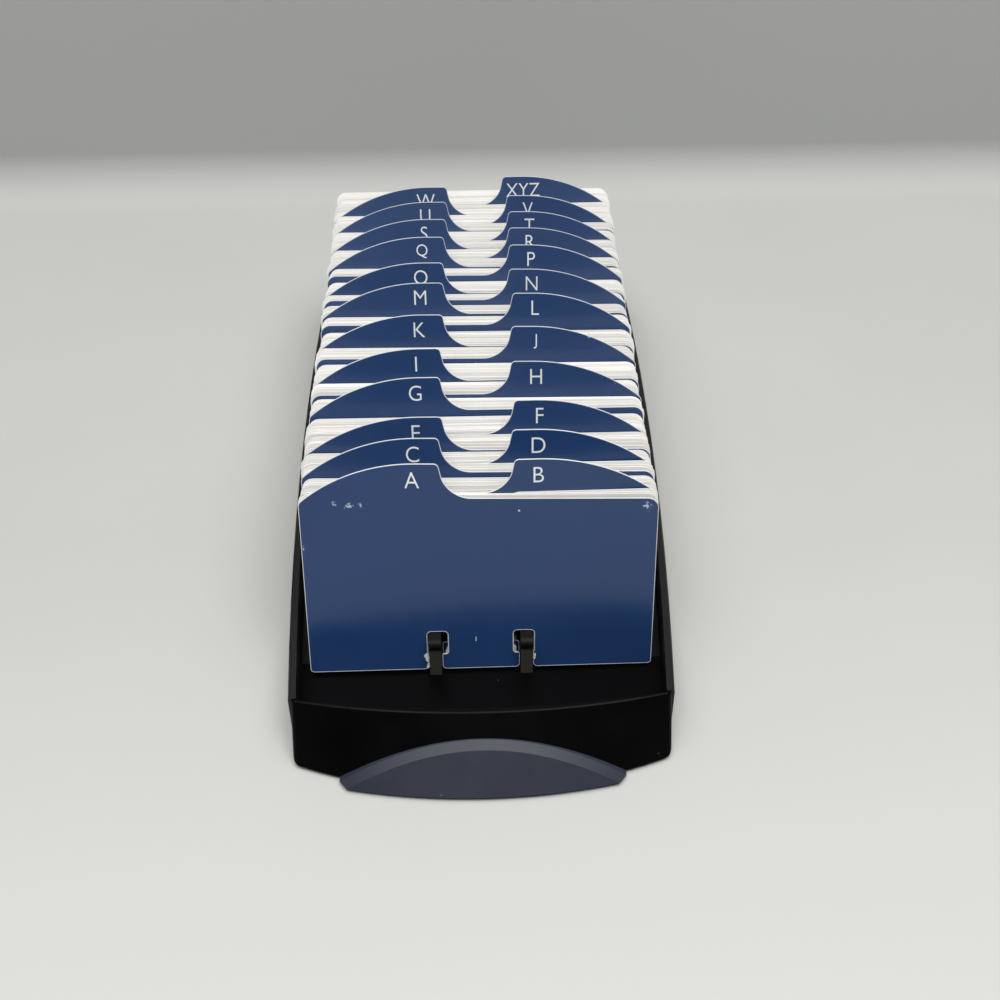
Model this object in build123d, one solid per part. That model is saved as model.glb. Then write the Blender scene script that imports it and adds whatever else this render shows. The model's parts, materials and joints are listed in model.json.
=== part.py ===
"""Desktop card file: an open tray with two rails, lettered dividers and packs of plain cards.

Millimetres. +X is the reader's right, +Y runs back along the rails, +Z is up.
The origin is the centre of the footprint, on the table.
"""
from build123d import *
import os
from math import atan2, cos, radians, sin, tan

# Cards and dividers
CARD_WIDTH = 101.6
CARD_HEIGHT = 57.15
CARD_THICKNESS = 0.25
CARD_CORNER_RADIUS = 3.2
FOOT_CORNER_RADIUS = 1.0
DIVIDER_HEIGHT = 56.85
DIVIDER_THICKNESS = 0.5
TAB_RISE = 10.6
TAB_SIDE_DROP = 12.4
TAB_SIDE_RADIUS = 2.0
TAB_LEVEL_START = 33.3
TAB_LEVEL_WIDTH = 6.5
TAB_CORNER_RADIUS = 1.3
TAB_DROP_SLANT = 12.0
TAB_SWEEP_RADIUS = 8.5

# Rails, hook-shaped: a web on the floor and a head that reaches inwards and keeps the cards on
RAIL_OFFSET = 13.5
RAIL_HEAD_WIDTH = 5.1
RAIL_HEAD_THICKNESS = 1.2
RAIL_WEB_WIDTH = 3.6
RAIL_NOSE_RADIUS = 2.0
RAIL_NOSE_LEAD = 1.2
RAIL_HEAD_SETBACK = 8.5
RAIL_TAIL = 4.0
RAIL_FIT = 0.15

# Notches in the foot of each sheet, which ride on the rails
NOTCH_HEAD_CLEARANCE = 0.55
NOTCH_HEIGHT = 7.8
NOTCH_RADIUS = 1.2
NECK_WEB_CLEARANCE = 0.25
NECK_HEIGHT = 5.2
NECK_FLARE = 1.2
HANG_GAP = 0.3

# How the file is filled: lean, height and place of the sheets, and the loose cards behind each letter
CARD_LEAN = 15.5
CARD_FOOT_HEIGHT = 7.6
FIRST_FOOT_BEHIND_RIM = 20.1
DIVIDER_PITCH = 1.5
LOOSE_CARD_PITCH = 0.93
SQUARED_CARD_PITCH = 0.36
PACK_GAP = 0.3
CARD_COUNTS = {
    "A": 3, "B": 6, "C": 3, "D": 5, "E": 6, "F": 11, "G": 7, "H": 6,
    "I": 11, "J": 6, "K": 11, "L": 6, "M": 7, "N": 3, "O": 10, "P": 5,
    "Q": 4, "R": 5, "S": 4, "T": 6, "U": 3, "V": 6, "W": 6, "XYZ": 11,
}

# Tray: a low pan with bowed sides
SIDE_ROOM_FRONT = 4.15
SIDE_ROOM_WIDEST = 9.7
WIDEST_BEHIND_RIM = 140.0
REAR_ROOM = 30.77
RIM_HEIGHT = 18.0
FOOT_HEIGHT = 1.5
FLOOR_THICKNESS = 2.0
WALL_THICKNESS = 2.3
WALL_START = 0.8
WALL_TOP_RADIUS = 0.9
REAR_BULGE = 5.0
REAR_CORNER_RADIUS = 9.0

# Front bezel: its nose is ruled between a shallow arc at the rim and a deep arc at the table
BEZEL_STEP_IN = 0.8
BEZEL_CORNER_RADIUS = 1.8
RIM_BULGE = 5.7
RIM_WIDTH = 1.6
RIM_RADIUS = 0.7
NOSE_LEAD = 20.1
NOSE_CORNER_LEAD = 9.3
BEZEL_WALL = 2.2
BEZEL_FIT = 0.15

# Ledge behind the rim: a steep fall, then a gentle slope that runs under the first divider's foot
LEDGE_FALL_LENGTH = 8.0
LEDGE_FALL_BULGE = 3.5
LEDGE_SLOPE_DROP = 1.8
LEDGE_PAST_FOOT = 2.3
LEDGE_BELOW_CARDS = 1.4
LEDGE_BACK_BULGE = 0.2

# Crescent badge on the nose
BADGE_HALF_WIDTH = 40.5
BADGE_TOP = 12.5
BADGE_PROUD = 2.6
BADGE_FLATTER = 2.5
BADGE_FIT = 0.05
BADGE_BEVEL_DEPTH = 2.2
BADGE_BEVEL_DROP = 1.3

# Back rest behind the last pack
REST_SIDE_INSET = 1.8
REST_HEIGHT = 46.0
REST_THICKNESS = 2.4
REST_CLEARANCE = 0.4
REST_CORNER_RADIUS = 6.0
REST_FLANGE_DEPTH = 12.0
REST_FLANGE_THICKNESS = 2.4
GUSSET_OFFSET = 34.0
GUSSET_THICKNESS = 2.4
GUSSET_HEIGHT = 30.0
GUSSET_REACH = 10.5

# Round rubber pads under the floor
PAD_RADIUS = 6.0
PAD_SIDE_INSET = 11.8
PAD_SETBACK_FRONT = 10.0
PAD_SETBACK_REAR = 20.0

# Sizes and places that follow from those above
LEAN = radians(CARD_LEAN)
NOTCH_WIDTH = RAIL_HEAD_WIDTH + 2 * NOTCH_HEAD_CLEARANCE
NECK_WIDTH = RAIL_WEB_WIDTH + 2 * NECK_WEB_CLEARANCE
RAIL_OUTER_X = RAIL_OFFSET + RAIL_WEB_WIDTH / 2
HEAD_OFFSET = RAIL_OUTER_X - RAIL_HEAD_WIDTH / 2
PIVOT_ABOVE_FOOT = NECK_HEIGHT + NOTCH_HEIGHT - HANG_GAP
RAIL_TOP = CARD_FOOT_HEIGHT + PIVOT_ABOVE_FOOT * cos(LEAN)
STACK_LENGTH = sum(DIVIDER_PITCH + count * LOOSE_CARD_PITCH for count in CARD_COUNTS.values())
TRAY_LENGTH = NOSE_LEAD + BADGE_PROUD + FIRST_FOOT_BEHIND_RIM + STACK_LENGTH + REAR_ROOM
RIM_Y = -TRAY_LENGTH / 2 + NOSE_LEAD + BADGE_PROUD
REAR_Y = TRAY_LENGTH / 2
FLOOR_TOP = FOOT_HEIGHT + FLOOR_THICKNESS
WALL_FRONT_HALF = CARD_WIDTH / 2 + SIDE_ROOM_FRONT
WALL_WIDEST_HALF = CARD_WIDTH / 2 + SIDE_ROOM_WIDEST
BEZEL_HALF = WALL_FRONT_HALF - BEZEL_STEP_IN
LEDGE_LENGTH = FIRST_FOOT_BEHIND_RIM + LEDGE_PAST_FOOT
LEDGE_BACK_TOP = CARD_FOOT_HEIGHT - LEDGE_BELOW_CARDS
FIRST_PIVOT_Y = RIM_Y + FIRST_FOOT_BEHIND_RIM + PIVOT_ABOVE_FOOT * sin(LEAN)
REST_PIVOT_Y = FIRST_PIVOT_Y + STACK_LENGTH + REST_CLEARANCE
RAIL_START_Y = RIM_Y + FIRST_FOOT_BEHIND_RIM - RAIL_NOSE_LEAD
RAIL_END_Y = REST_PIVOT_Y + REST_THICKNESS / cos(LEAN) + RAIL_TAIL
PAST = 1.0


def box_between(low, high):
    """Box with its low and high corners at the given points."""
    size = [top - bottom for bottom, top in zip(low, high)]
    middle = [(top + bottom) / 2 for bottom, top in zip(low, high)]
    return Pos(*middle) * Box(*size)


def arc_wire(half_width, end_y, bulge, back_y, z):
    """Flat outline at height z: an arc in front, its middle forward by bulge, and straight sides and back."""
    front = ThreePointArc((-half_width, end_y, z), (0, end_y - bulge, z), (half_width, end_y, z))
    rest = Polyline(
        (half_width, end_y, z), (half_width, back_y, z), (-half_width, back_y, z), (-half_width, end_y, z)
    )
    return Wire(list(front.edges()) + list(rest.edges()))


def tray_plan(inset):
    """Tray outline from above, behind the side walls' front ends and drawn in by inset."""
    start_y = RIM_Y + WALL_START
    widest_y = RIM_Y + WIDEST_BEHIND_RIM
    end_y = REAR_Y - REAR_BULGE - inset
    bow = (WALL_WIDEST_HALF - WALL_FRONT_HALF) / (widest_y - start_y) ** 2
    start_half = WALL_FRONT_HALF - inset
    widest_half = WALL_WIDEST_HALF - inset
    end_half = widest_half - bow * (end_y - widest_y) ** 2
    front = Line((-start_half, start_y), (start_half, start_y))
    right = ThreePointArc((start_half, start_y), (widest_half, widest_y), (end_half, end_y))
    rear = ThreePointArc((end_half, end_y), (0, end_y + REAR_BULGE), (-end_half, end_y))
    left = ThreePointArc((-end_half, end_y), (-widest_half, widest_y), (-start_half, start_y))
    plan = make_face(Wire([front.edge(), right.edge(), rear.edge(), left.edge()]))
    return fillet(plan.vertices().sort_by(Axis.Y)[-2:], REAR_CORNER_RADIUS - inset)


def nose_solid(inset, back_y, top_z, flatter=0.0):
    """The nose's ruled form, drawn in by inset, from the tray's underside up to top_z."""
    half_width = BEZEL_HALF - max(inset, 0)
    share = (top_z - FOOT_HEIGHT) / (RIM_HEIGHT - FOOT_HEIGHT)
    deep_bulge = NOSE_LEAD - NOSE_CORNER_LEAD
    low_bulge = deep_bulge - flatter
    top_bulge = deep_bulge + (RIM_BULGE - deep_bulge) * share - flatter
    low_end = RIM_Y - NOSE_CORNER_LEAD + inset - flatter
    top_end = RIM_Y - NOSE_CORNER_LEAD * (1 - share) + inset - flatter
    low = arc_wire(half_width, low_end, low_bulge, back_y, FOOT_HEIGHT)
    top = arc_wire(half_width, top_end, top_bulge, back_y, top_z)
    return Solid.make_loft([low, top], ruled=True)


def ledge_space(drop):
    """Space above the ledge, which dips from inside the rim to the first divider's foot."""
    half_width = WALL_WIDEST_HALF
    back_y = RIM_Y + 2 * LEDGE_LENGTH
    bend_z = LEDGE_BACK_TOP + LEDGE_SLOPE_DROP
    low = arc_wire(half_width, RIM_Y + LEDGE_LENGTH, LEDGE_BACK_BULGE, back_y, LEDGE_BACK_TOP - drop)
    bend = arc_wire(half_width, RIM_Y + LEDGE_FALL_LENGTH, LEDGE_FALL_BULGE, back_y, bend_z - drop)
    top = arc_wire(half_width, RIM_Y + RIM_WIDTH, RIM_BULGE, back_y, RIM_HEIGHT - drop)
    dip = Solid.make_loft([low, bend], ruled=True) + Solid.make_loft([bend, top], ruled=True)
    return dip + Solid.extrude(Face(top), Vector(0, 0, RIM_HEIGHT))


def rail_body(side, fit):
    """A rail's web and head, grown by fit for the space that other pieces leave it."""
    outer = RAIL_OUTER_X + fit
    web_x = sorted((side * (RAIL_OUTER_X - RAIL_WEB_WIDTH - fit), side * outer))
    head_x = sorted((side * (RAIL_OUTER_X - RAIL_HEAD_WIDTH - fit), side * outer))
    head_start = RAIL_START_Y + RAIL_HEAD_SETBACK - fit
    head_low = RAIL_TOP - RAIL_HEAD_THICKNESS - fit
    end_y, top_z = RAIL_END_Y + fit, RAIL_TOP + fit
    web = box_between((web_x[0], RAIL_START_Y - fit, FLOOR_TOP - fit), (web_x[1], end_y, top_z))
    head = box_between((head_x[0], head_start, head_low), (head_x[1], end_y, top_z))
    return web, head


def rail(side):
    """One rail, its nose rounded where it turns down into the ledge."""
    web, head = rail_body(side, 0)
    nose = web.edges().filter_by(Axis.X).group_by(Axis.Y)[0].sort_by(Axis.Z)[-1]
    return fillet(nose, RAIL_NOSE_RADIUS) + head


def tray_base():
    """Floor, bowed side walls and rear wall in one moulding, with a floor tongue inside the nose."""
    outer = extrude(tray_plan(0), amount=RIM_HEIGHT - FOOT_HEIGHT)
    wall_top = outer.edges().group_by(Axis.Z)[-1].sort_by(Axis.Y)[1:]
    outer = Pos(0, 0, FOOT_HEIGHT) * fillet(wall_top, WALL_TOP_RADIUS)
    inner = Pos(0, 0, FLOOR_TOP) * extrude(tray_plan(WALL_THICKNESS), amount=RIM_HEIGHT)
    mouth_half = WALL_FRONT_HALF - WALL_THICKNESS
    mouth = box_between(
        (-mouth_half, RIM_Y - PAST, FLOOR_TOP), (mouth_half, RIM_Y + WALL_START + PAST, RIM_HEIGHT + PAST)
    )
    tongue_inset = BEZEL_WALL + BEZEL_FIT
    slab = box_between(
        (-BEZEL_HALF, RIM_Y - NOSE_LEAD, FOOT_HEIGHT), (BEZEL_HALF, RIM_Y + WALL_START, FLOOR_TOP)
    )
    tongue = slab & nose_solid(tongue_inset, RIM_Y + LEDGE_LENGTH, RIM_HEIGHT)
    return outer - inner - mouth + tongue


def front_bezel():
    """Nose, rim and ledge: a hollow moulding whose back part fits between the side walls."""
    back_y = RIM_Y + LEDGE_LENGTH + BEZEL_WALL
    wall_front = RIM_Y + WALL_START - BEZEL_FIT
    nose = nose_solid(0, wall_front, RIM_HEIGHT)
    corners = nose.edges().filter_by(lambda edge: edge.length < NOSE_LEAD and edge.center().Y < RIM_Y)
    nose = fillet(corners, BEZEL_CORNER_RADIUS)
    rim_edges = nose.edges().group_by(Axis.Z)[-1].sort_by(Axis.Y)[:-1]
    nose = fillet(rim_edges, RIM_RADIUS)
    between = extrude(tray_plan(WALL_THICKNESS + BEZEL_FIT), amount=RIM_HEIGHT)
    shelf = between & box_between((-BEZEL_HALF, wall_front, FLOOR_TOP), (BEZEL_HALF, back_y, RIM_HEIGHT))
    neck_half = WALL_FRONT_HALF - WALL_THICKNESS - BEZEL_FIT
    neck_back = RIM_Y + WALL_START + PAST
    neck = box_between((-neck_half, wall_front, FLOOR_TOP), (neck_half, neck_back, RIM_HEIGHT))
    body = nose + neck + shelf - ledge_space(0)
    hollow = nose_solid(BEZEL_WALL, RIM_Y + LEDGE_LENGTH, RIM_HEIGHT - BEZEL_WALL)
    body = body - (hollow - ledge_space(BEZEL_WALL))
    for side in (-1, 1):
        web_space = rail_body(side, RAIL_FIT)[0]
        body = body - web_space
    return body


def front_badge():
    """Crescent plate on the nose, with a broad bevel along its curved top edge."""
    proud = nose_solid(-BADGE_PROUD, RIM_Y, RIM_HEIGHT, BADGE_FLATTER)
    seat = nose_solid(-BADGE_FIT, RIM_Y + PAST, RIM_HEIGHT + PAST)
    left_end = (-BADGE_HALF_WIDTH, FOOT_HEIGHT)
    right_end = (BADGE_HALF_WIDTH, FOOT_HEIGHT)
    arch = ThreePointArc(left_end, (0, BADGE_TOP), right_end)
    crescent = Plane.XZ * make_face(Wire([arch.edge(), Line(right_end, left_end).edge()]))
    badge = (proud & extrude(crescent, amount=TRAY_LENGTH)) - seat
    crest = badge.edges().filter_by(GeomType.BSPLINE).sort_by(Axis.Y)[0]
    top_face = badge.faces().filter_by(GeomType.CYLINDER)[0]
    return chamfer(crest, BADGE_BEVEL_DEPTH, length2=BADGE_BEVEL_DROP, reference=top_face)


def notched(outline):
    """Outline with the two rail notches cut up from its foot, their mouths flared."""
    neck_height = NECK_HEIGHT + NOTCH_RADIUS
    for side in (-1, 1):
        wide = RectangleRounded(NOTCH_WIDTH, NOTCH_HEIGHT, NOTCH_RADIUS)
        wide = Pos(side * HEAD_OFFSET, NECK_HEIGHT + NOTCH_HEIGHT / 2) * wide
        neck = Pos(side * RAIL_OFFSET, neck_height / 2) * Rectangle(NECK_WIDTH, neck_height)
        outline = outline - wide - neck
    foot = outline.vertices().group_by(Axis.Y)[0]
    mouths = foot.filter_by(lambda corner: abs(corner.X) < RAIL_OFFSET + NECK_WIDTH)
    return fillet(mouths, NECK_FLARE)


def card_outline():
    """Plain card seen face on, its foot on the X axis."""
    sheet = Pos(0, CARD_HEIGHT / 2) * Rectangle(CARD_WIDTH, CARD_HEIGHT)
    sheet = fillet(sheet.vertices().group_by(Axis.Y)[-1], CARD_CORNER_RADIUS)
    sheet = fillet(sheet.vertices().group_by(Axis.Y)[0], FOOT_CORNER_RADIUS)
    return notched(sheet)


def divider_outline():
    """Divider with its tab on the left: long arch up, level top, quick fall to the low shoulder."""
    half = CARD_WIDTH / 2
    top = DIVIDER_HEIGHT + TAB_RISE
    side_top = top - TAB_SIDE_DROP
    start_x = -half + TAB_LEVEL_START
    end_x = start_x + TAB_LEVEL_WIDTH
    foot_x = end_x + TAB_RISE * tan(radians(TAB_DROP_SLANT))
    arch = TangentArc((start_x, top), (-half, side_top), tangent=(-1, 0))
    rest = Polyline(
        (start_x, top), (end_x, top), (foot_x, DIVIDER_HEIGHT), (half, DIVIDER_HEIGHT), (half, 0), (-half, 0),
        (-half, side_top),
    )
    sheet = Sketch() + make_face(Wire(list(arch.edges()) + list(rest.edges())))
    radii = {
        (-half, side_top): TAB_SIDE_RADIUS,
        (end_x, top): TAB_CORNER_RADIUS,
        (foot_x, DIVIDER_HEIGHT): TAB_SWEEP_RADIUS,
        (half, DIVIDER_HEIGHT): CARD_CORNER_RADIUS,
        (half, 0): FOOT_CORNER_RADIUS,
        (-half, 0): FOOT_CORNER_RADIUS,
    }
    for corner, radius in radii.items():
        nearest = sheet.vertices().sort_by_distance(corner)[0]
        sheet = fillet(nearest, radius)
    return notched(sheet)


def leaning_place(pivot_y, lean):
    """Place whose X runs along a leaning sheet's foot, Y up the sheet, and origin on the rails' tops."""
    return Plane(origin=(0, pivot_y, RAIL_TOP), x_dir=(1, 0, 0), z_dir=(0, -cos(lean), sin(lean))).location


def hung(sheet, pivot_y, extra_lean=0.0):
    """A sheet hung on the rails at pivot_y, leaning back."""
    return leaning_place(pivot_y, LEAN + extra_lean) * (Pos(0, -PIVOT_ABOVE_FOOT, 0) * sheet)


def pack_depth(count):
    """Room along the rails that a pack of loose cards takes."""
    return count * LOOSE_CARD_PITCH


def card_pack(card, pivot_y, count):
    """Loose cards, close together at the foot and spread at the top."""
    top_room = pack_depth(count) * cos(LEAN) - PACK_GAP - CARD_THICKNESS
    top_pitch = top_room / (count - 1)
    spread = atan2(top_pitch - SQUARED_CARD_PITCH, CARD_HEIGHT)
    rail_pitch = (SQUARED_CARD_PITCH + PIVOT_ABOVE_FOOT * tan(spread)) / cos(LEAN)
    return [hung(card, pivot_y + place * rail_pitch, place * spread) for place in range(count)]


def section_places():
    """For each letter: its card count, and where its divider and its pack hang along the rails."""
    places = []
    pivot_y = FIRST_PIVOT_Y
    for letters, count in CARD_COUNTS.items():
        places.append((letters, count, pivot_y, pivot_y + DIVIDER_PITCH))
        pivot_y += DIVIDER_PITCH + pack_depth(count)
    return places


def rest_front_y(z):
    """Where the back rest's front face is at height z."""
    return REST_PIVOT_Y + (z - RAIL_TOP) * tan(LEAN)


def gusset(middle_x):
    """Triangular web that props the back rest from behind."""
    top_z = FLOOR_TOP + GUSSET_HEIGHT
    half_depth = REST_THICKNESS / 2 / cos(LEAN)
    foot_y = rest_front_y(FLOOR_TOP) + half_depth
    outline = Polyline(
        (foot_y, FLOOR_TOP),
        (foot_y + GUSSET_REACH, FLOOR_TOP),
        (rest_front_y(top_z) + half_depth, top_z),
        close=True,
    )
    profile = Plane.YZ * make_face(outline)
    return Pos(middle_x, 0, 0) * extrude(profile, amount=GUSSET_THICKNESS / 2, both=True)


def back_rest():
    """Leaning plate that the rails pass through, with a flange and gussets behind it."""
    width = CARD_WIDTH - 2 * REST_SIDE_INSET
    foot = (FLOOR_TOP - RAIL_TOP) / cos(LEAN) - REST_THICKNESS
    height = REST_HEIGHT + REST_THICKNESS
    sheet = Pos(0, foot + height / 2) * Rectangle(width, height)
    sheet = fillet(sheet.vertices().group_by(Axis.Y)[-1], REST_CORNER_RADIUS)
    body = leaning_place(REST_PIVOT_Y, LEAN) * extrude(sheet, amount=-REST_THICKNESS)
    foot_y = rest_front_y(FLOOR_TOP)
    flange_top = FLOOR_TOP + REST_FLANGE_THICKNESS
    flange_end = foot_y + REST_FLANGE_DEPTH
    body = body + box_between((-width / 2, foot_y + PAST, FLOOR_TOP), (width / 2, flange_end, flange_top))
    for place in (-1, 0, 1):
        body = body + gusset(place * GUSSET_OFFSET)
    for side in (-1, 1):
        for space in rail_body(side, RAIL_FIT):
            body = body - space
    below_floor = box_between((-width, foot_y - REST_HEIGHT, 0), (width, flange_end, FLOOR_TOP))
    return body - below_floor


def rubber_feet():
    """Four round pads under the floor."""
    across = WALL_FRONT_HALF - PAD_SIDE_INSET
    pads = []
    for pad_x in (-across, across):
        for pad_y in (RIM_Y + PAD_SETBACK_FRONT, REAR_Y - PAD_SETBACK_REAR):
            pads.append(Pos(pad_x, pad_y, FOOT_HEIGHT / 2) * Cylinder(PAD_RADIUS, FOOT_HEIGHT))
    return Compound(children=pads)


def build_parts():
    """Every piece by name."""
    parts = {
        "tray_base": tray_base(),
        "front_bezel": front_bezel(),
        "front_badge": front_badge(),
        "left_rail": rail(-1),
        "right_rail": rail(1),
        "back_rest": back_rest(),
        "rubber_feet": rubber_feet(),
    }
    card = extrude(card_outline(), amount=-CARD_THICKNESS)
    left_tab = divider_outline()
    tabs = [extrude(outline, amount=-DIVIDER_THICKNESS) for outline in (left_tab, mirror(left_tab, Plane.YZ))]
    for number, (letters, count, divider_y, pack_y) in enumerate(section_places()):
        parts[f"divider_{letters}"] = hung(tabs[number % 2], divider_y)
        parts[f"cards_{letters}"] = Compound(children=card_pack(card, pack_y, count))
    return parts


os.makedirs("parts", exist_ok=True)
for node, shape in build_parts().items():
    export_step(shape, f"parts/{node}.step")
    bounds = shape.bounding_box()
    print(node, [round(value, 2) for value in (*bounds.min, *bounds.max)])
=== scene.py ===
# %% [markdown]
# A desktop card file: a black tray, two rails, lettered dividers and packs of plain cards. Its sizes and
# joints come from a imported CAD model, loaded here as a fixed frame. The tray's solids are right as they
# are and only need a finish. Flat CAD sheets look dead, though, so every divider and card is modelled
# again and hung where its solid hangs.

# %% Load the frame
import json
import math
import random

import bmesh
import bpy
from mathutils import Matrix, Vector


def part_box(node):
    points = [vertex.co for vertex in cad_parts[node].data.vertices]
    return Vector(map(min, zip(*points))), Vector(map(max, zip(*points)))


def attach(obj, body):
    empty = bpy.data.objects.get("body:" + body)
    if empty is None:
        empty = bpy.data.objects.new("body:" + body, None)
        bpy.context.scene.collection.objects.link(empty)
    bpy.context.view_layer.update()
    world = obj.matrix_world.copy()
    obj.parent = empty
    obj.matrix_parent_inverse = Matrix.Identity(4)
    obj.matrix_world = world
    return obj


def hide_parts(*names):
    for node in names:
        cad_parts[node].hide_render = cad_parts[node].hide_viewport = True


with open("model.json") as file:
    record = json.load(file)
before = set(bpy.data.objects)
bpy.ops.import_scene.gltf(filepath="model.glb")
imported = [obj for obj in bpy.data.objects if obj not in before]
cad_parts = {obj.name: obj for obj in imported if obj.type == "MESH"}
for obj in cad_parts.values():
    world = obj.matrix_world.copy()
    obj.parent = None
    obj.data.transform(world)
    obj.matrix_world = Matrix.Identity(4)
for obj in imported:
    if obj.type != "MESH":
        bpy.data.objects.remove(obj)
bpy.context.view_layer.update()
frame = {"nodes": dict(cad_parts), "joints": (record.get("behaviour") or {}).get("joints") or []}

MM = 0.001
nodes = frame["nodes"]
tilt_axis = {joint["child"]: Vector(joint["pos_m"]) for joint in frame["joints"]}
print("frame:", len(nodes), "nodes,", len(tilt_axis), "tilting bodies")

# %% [markdown]
# The camera comes first, because everything else is judged through it. It looks down at about 41 degrees
# from in front of the badge, a hair to the right, with a normal lens. Its distance follows from the width
# of the tray in the photograph, and the small shift from a slightly off-centre crop. The plain view
# transform keeps the whites of the cards as bright, and the blacks as deep, as they are there.

# %% Camera
CAMERA_PLACE = Vector((1.4, -361.1, 319.4)) * MM
LOOK_DOWN = math.radians(41.03)
TURN_RIGHT = math.radians(1.26)
ROLL = math.radians(-0.30)
SENSOR_WIDTH = 36
FOCAL_LENGTH = 49.98
SHIFT_RIGHT = -0.0057
SHIFT_UP = -0.0067

lens = bpy.data.cameras.new("view_from_front")
lens.sensor_width = SENSOR_WIDTH
lens.lens = FOCAL_LENGTH
lens.shift_x = SHIFT_RIGHT
lens.shift_y = SHIFT_UP
lens.clip_start = 0.01
camera = bpy.data.objects.new("view_from_front", lens)
bpy.context.scene.collection.objects.link(camera)
aim = Matrix.Rotation(-TURN_RIGHT, 4, "Z") @ Matrix.Rotation(math.pi / 2 - LOOK_DOWN, 4, "X")
camera.matrix_world = Matrix.Translation(CAMERA_PLACE) @ aim @ Matrix.Rotation(ROLL, 4, "Z")
bpy.context.scene.camera = camera
bpy.context.scene.view_settings.view_transform = "Standard"
print("camera at", tuple(round(v, 3) for v in camera.location))

# %% [markdown]
# The object stands on a wide pale floor, and a sheet sweeps up close behind it, as in a small photo
# corner. The floor is one large face. The sheet could be a bent grid, but an outline that is drawn with a
# pen and extruded once has a true radius: its bend is a spun vertex that leaves the floor without a line.
# Its faces all point forward, because its paper is seen from that side only.

# %% Floor
def link_mesh(name, mesh_work):
    """Turns a finished bmesh into an object at the origin."""
    data = bpy.data.meshes.new(name)
    mesh_work.to_mesh(data)
    mesh_work.free()
    made = bpy.data.objects.new(name, data)
    bpy.context.scene.collection.objects.link(made)
    return made


FLOOR_REACH = 6.0

ground = bmesh.new()
bmesh.ops.create_grid(ground, x_segments=1, y_segments=1, size=FLOOR_REACH)
floor = link_mesh("pale_floor", ground)
print("floor:", len(floor.data.polygons), "face")

# %% A pen for outlines
def verts_of(result):
    """The vertices among what an operator made."""
    return [item for item in result if isinstance(item, bmesh.types.BMVert)]


def line_to(mesh, tip, x, z):
    """Draws a straight line from the vertex tip, in the XZ plane."""
    grown = bmesh.ops.extrude_vert_indiv(mesh, verts=[tip])["verts"][0]
    grown.co = (x, tip.co.y, z)
    return grown


def arc_round(mesh, tip, centre_x, centre_z, degrees, steps):
    """Spins the vertex tip round a centre. Positive degrees run clockwise, seen from the front."""
    centre = (centre_x, tip.co.y, centre_z)
    swept = bmesh.ops.spin(
        mesh, geom=[tip], cent=centre, axis=(0, 1, 0), angle=math.radians(degrees), steps=steps
    )
    return verts_of(swept["geom_last"])[0]


print("pen: line_to and arc_round")

# %% Backdrop
BEND_START = 0.208
BEND_RADIUS = 0.022
BEND_DEGREES = 80
BEND_STEPS = 24
BACKDROP_LEAN = 0.17
BACKDROP_TOP = 1.4
BACKDROP_HALF = 1.6
FORWARD_AND_UP = Vector((0, -1, 1))

sweep = bmesh.new()
tip = sweep.verts.new((BEND_START, 0, 0))
tip = arc_round(sweep, tip, BEND_START, BEND_RADIUS, -BEND_DEGREES, BEND_STEPS)
line_to(sweep, tip, tip.co.x + BACKDROP_LEAN, BACKDROP_TOP)
bmesh.ops.transform(sweep, matrix=Matrix.Rotation(math.pi / 2, 4, "Z"), verts=sweep.verts[:])
grown = bmesh.ops.extrude_edge_only(sweep, edges=sweep.edges[:])
bmesh.ops.translate(sweep, verts=verts_of(grown["geom"]), vec=(2 * BACKDROP_HALF, 0, 0))
bmesh.ops.translate(sweep, verts=sweep.verts[:], vec=(-BACKDROP_HALF, 0, 0))
sweep.normal_update()
for face in sweep.faces:
    if face.normal.dot(FORWARD_AND_UP) < 0:
        face.normal_flip()
backdrop = link_mesh("pale_sweep", sweep)
backdrop.data.shade_smooth()
print("backdrop:", len(backdrop.data.polygons), "faces")

# %% [markdown]
# The light is soft and comes from above: a wide ceiling lamp over the object, and a second one high in
# front, which is why the upright card faces are as bright as the floor. Shadows are faint on both sides
# of the tray. The world lights dimly, so that the black nose, which mirrors it, stays black. The camera
# itself sees a lighter grey beyond the floor, in the low views from the sides.

# %% Soft lamps
def soft_lamp(name, place, target, width, depth, watts, tint):
    """A rectangular lamp that is turned towards its target."""
    light = bpy.data.lights.new(name, "AREA")
    light.shape = "RECTANGLE"
    light.size = width
    light.size_y = depth
    light.energy = watts
    light.color = tint
    lamp = bpy.data.objects.new(name, light)
    bpy.context.scene.collection.objects.link(lamp)
    lamp.location = place
    lamp.rotation_euler = (Vector(target) - Vector(place)).to_track_quat("-Z", "Y").to_euler()


soft_lamp(
    "ceiling_lamp", place=(0.0, -0.05, 1.35), target=(0, 0, 0), width=1.8, depth=1.4, watts=18,
    tint=(1.0, 0.995, 0.975),
)
soft_lamp(
    "front_lamp", place=(0.1, -0.6, 1.5), target=(0, -0.05, 0.03), width=1.2, depth=0.7, watts=19.5,
    tint=(1.0, 1.0, 0.985),
)

# %% Dim world
WORLD_TINT = (0.94, 0.97, 1.0, 1)
WORLD_STRENGTH = 0.12
HORIZON_GREY = (0.24, 0.24, 0.235, 1)

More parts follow.
